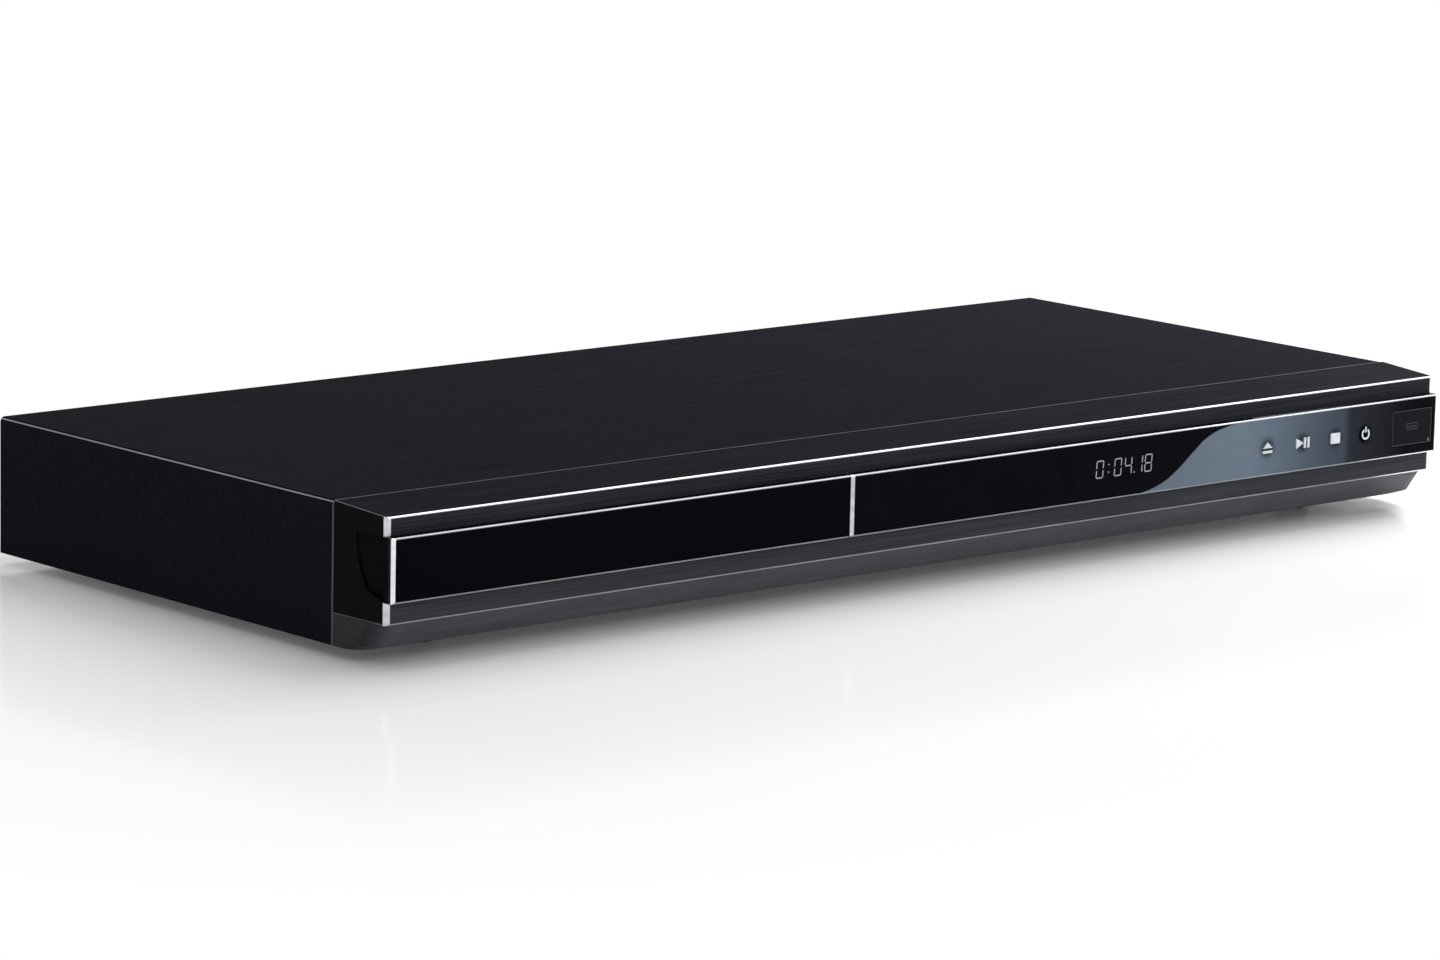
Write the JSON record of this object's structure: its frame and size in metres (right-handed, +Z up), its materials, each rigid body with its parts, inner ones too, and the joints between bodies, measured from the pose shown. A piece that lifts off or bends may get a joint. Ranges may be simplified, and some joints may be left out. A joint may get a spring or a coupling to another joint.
{
  "type": "disc player",
  "caption": "Slim tabletop disc player: flat metal cover, gloss front panel with sliding disc tray, display, push keys, hinged USB flap and rear sockets.",
  "frame": {"origin": "centre of the footprint, on the surface the feet stand on", "axes": "+X to the right seen from the front, front faces -Y, +Z up"},
  "size_m": [0.43, 0.1982, 0.045],
  "materials": {
    "brushed_cover": "black hairline-brushed coating",
    "fascia": "satin black ABS",
    "gloss_black": "high gloss black acrylic",
    "bright_trim": "bright silver",
    "key_white": "pale moulded keys",
    "zinc_steel": "zinc-coated sheet",
    "black_steel": "black powder coat",
    "rubber": "matte",
    "screw_steel": "plated",
    "black_plastic": "moulded black",
    "white_plastic": "moulded acetal",
    "motor_steel": "plated steel",
    "pickup_grey": "glass-filled",
    "lens": "coated",
    "board_green": "solder mask",
    "display_glass": "dark glass",
    "socket_steel": "nickel-plated",
    "heatsink_alu": "extruded",
    "ribbon": "flat cable",
    "power_parts": "sleeved",
    "jack_nickel": "nickel-plated",
    "jack_insert": "coloured insulators"
  },
  "bodies": {
    "case": {"top_cover": "brushed_cover", "front_fascia": "fascia", "display_window": "gloss_black", "silver_trims": "bright_trim", "bottom_chassis": "zinc_steel", "clamper_bridge": "zinc_steel", "rear_panel": "black_steel", "feet": "rubber", "drive_belt": "rubber", "cover_screws": "screw_steel", "board_screws": "screw_steel", "loader_screws": "screw_steel", "loader_frame": "black_plastic", "rca_housing": "black_plastic", "mains_inlet": "black_plastic", "optical_socket": "black_plastic", "transformer": "black_plastic", "chips": "black_plastic", "ir_receiver": "black_plastic", "tact_switches": "black_plastic", "loader_motor": "motor_steel", "standoffs": "motor_steel", "front_board": "board_green", "usb_board": "board_green", "main_board": "board_green", "power_board": "board_green", "display_module": "display_glass", "usb_socket": "socket_steel", "hdmi_socket": "socket_steel", "lan_socket": "socket_steel", "heatsink": "heatsink_alu", "loader_ribbon": "ribbon", "mains_capacitor": "power_parts", "power_parts": "power_parts", "rca_jacks": "jack_nickel", "rca_inserts": "jack_insert"},
    "tray": {"disc_tray": "black_plastic", "tray_bezel": "gloss_black", "bezel_end_trim": "bright_trim"},
    "drive_gear": {"drive_gear": "white_plastic"},
    "pulley_gear": {"pulley_gear": "white_plastic"},
    "motor_pulley": {"motor_pulley": "white_plastic"},
    "cam": {"cam_slider": "zinc_steel"},
    "traverse": {"traverse_frame": "motor_steel", "spindle_motor": "motor_steel", "guide_rods": "screw_steel", "sled_motor": "motor_steel"},
    "turntable": {"turntable": "white_plastic", "turntable_pad": "rubber"},
    "clamper": {"clamper": "white_plastic", "clamper_magnet": "motor_steel"},
    "pickup": {"pickup_sled": "pickup_grey", "objective_lens": "lens"},
    "lead_screw": {"lead_screw": "screw_steel"},
    "key_eject": {"button_eject": "key_white"},
    "key_play": {"button_play": "key_white"},
    "key_stop": {"button_stop": "key_white"},
    "key_power": {"button_power": "key_white"},
    "usb_flap": {"usb_flap": "gloss_black"},
    "optical_shutter": {"optical_shutter": "black_plastic"}
  },
  "joints": [
    {"name": "tray_slide", "type": "slide", "parent": "case", "child": "tray", "axis": [0, -1, 0], "range_m": [0, 0.138]},
    {"name": "drive_gear_spin", "type": "hinge", "parent": "case", "child": "drive_gear", "pos_m": [-0.185, -0.0621, 0.02], "axis": [0, 0, 1], "range_deg": [0, 820]},
    {"name": "pulley_gear_spin", "type": "hinge", "parent": "case", "child": "pulley_gear", "pos_m": [-0.16629, -0.0729, 0.018], "axis": [0, 0, 1], "range_deg": [-2330, 0]},
    {"name": "motor_spin", "type": "hinge", "parent": "case", "child": "motor_pulley", "pos_m": [-0.128, -0.0716, 0.016], "axis": [0, 0, 1], "range_deg": [-6390, 0]},
    {"name": "traverse_drop", "type": "hinge", "parent": "case", "child": "traverse", "pos_m": [-0.128, 0.0639, 0.0204], "axis": [1, 0, 0], "range_deg": [0, 2.7]},
    {"name": "cam_slide", "type": "slide", "parent": "case", "child": "cam", "axis": [-1, 0, 0], "range_m": [0, 0.0163]},
    {"name": "turntable_spin", "type": "hinge", "parent": "traverse", "child": "turntable", "pos_m": [-0.128, -0.0211, 0.026], "axis": [0, 0, 1], "continuous": true},
    {"name": "clamper_spin", "type": "hinge", "parent": "case", "child": "clamper", "pos_m": [-0.128, -0.0211, 0.034], "axis": [0, 0, 1], "continuous": true},
    {"name": "pickup_slide", "type": "slide", "parent": "traverse", "child": "pickup", "axis": [0, 1, 0], "range_m": [0, 0.034]},
    {"name": "lead_screw_spin", "type": "hinge", "parent": "traverse", "child": "lead_screw", "pos_m": [-0.097, 0.0139, 0.0155], "axis": [0, 1, 0], "range_deg": [0, 4210]},
    {"name": "eject_press", "type": "slide", "parent": "case", "child": "key_eject", "axis": [0, 1, 0], "range_m": [0, 0.0005], "stiffness_N_per_m": 900},
    {"name": "play_press", "type": "slide", "parent": "case", "child": "key_play", "axis": [0, 1, 0], "range_m": [0, 0.0005], "stiffness_N_per_m": 900},
    {"name": "stop_press", "type": "slide", "parent": "case", "child": "key_stop", "axis": [0, 1, 0], "range_m": [0, 0.0005], "stiffness_N_per_m": 900},
    {"name": "power_press", "type": "slide", "parent": "case", "child": "key_power", "axis": [0, 1, 0], "range_m": [0, 0.0005], "stiffness_N_per_m": 900},
    {"name": "usb_flap_hinge", "type": "hinge", "parent": "case", "child": "usb_flap", "pos_m": [0.194, -0.0978, 0.0284], "axis": [0, 0, -1], "range_deg": [0, 95]},
    {"name": "optical_shutter_hinge", "type": "hinge", "parent": "case", "child": "optical_shutter", "pos_m": [0.018, 0.0866, 0.0203], "axis": [-1, 0, 0], "range_deg": [0, 85], "stiffness_Nm_per_rad": 0.001}
  ],
  "couplings": [
    {"joint": "drive_gear_spin", "follows": "tray_slide", "rad_per_m": 100},
    {"joint": "pulley_gear_spin", "follows": "tray_slide", "rad_per_m": -285.71},
    {"joint": "motor_spin", "follows": "tray_slide", "rad_per_m": -783.41},
    {"joint": "cam_slide", "follows": "traverse_drop", "m_per_rad": 0.33987},
    {"joint": "clamper_spin", "follows": "turntable_spin", "ratio": 1},
    {"joint": "lead_screw_spin", "follows": "pickup_slide", "rad_per_m": 2094.4}
  ]
}
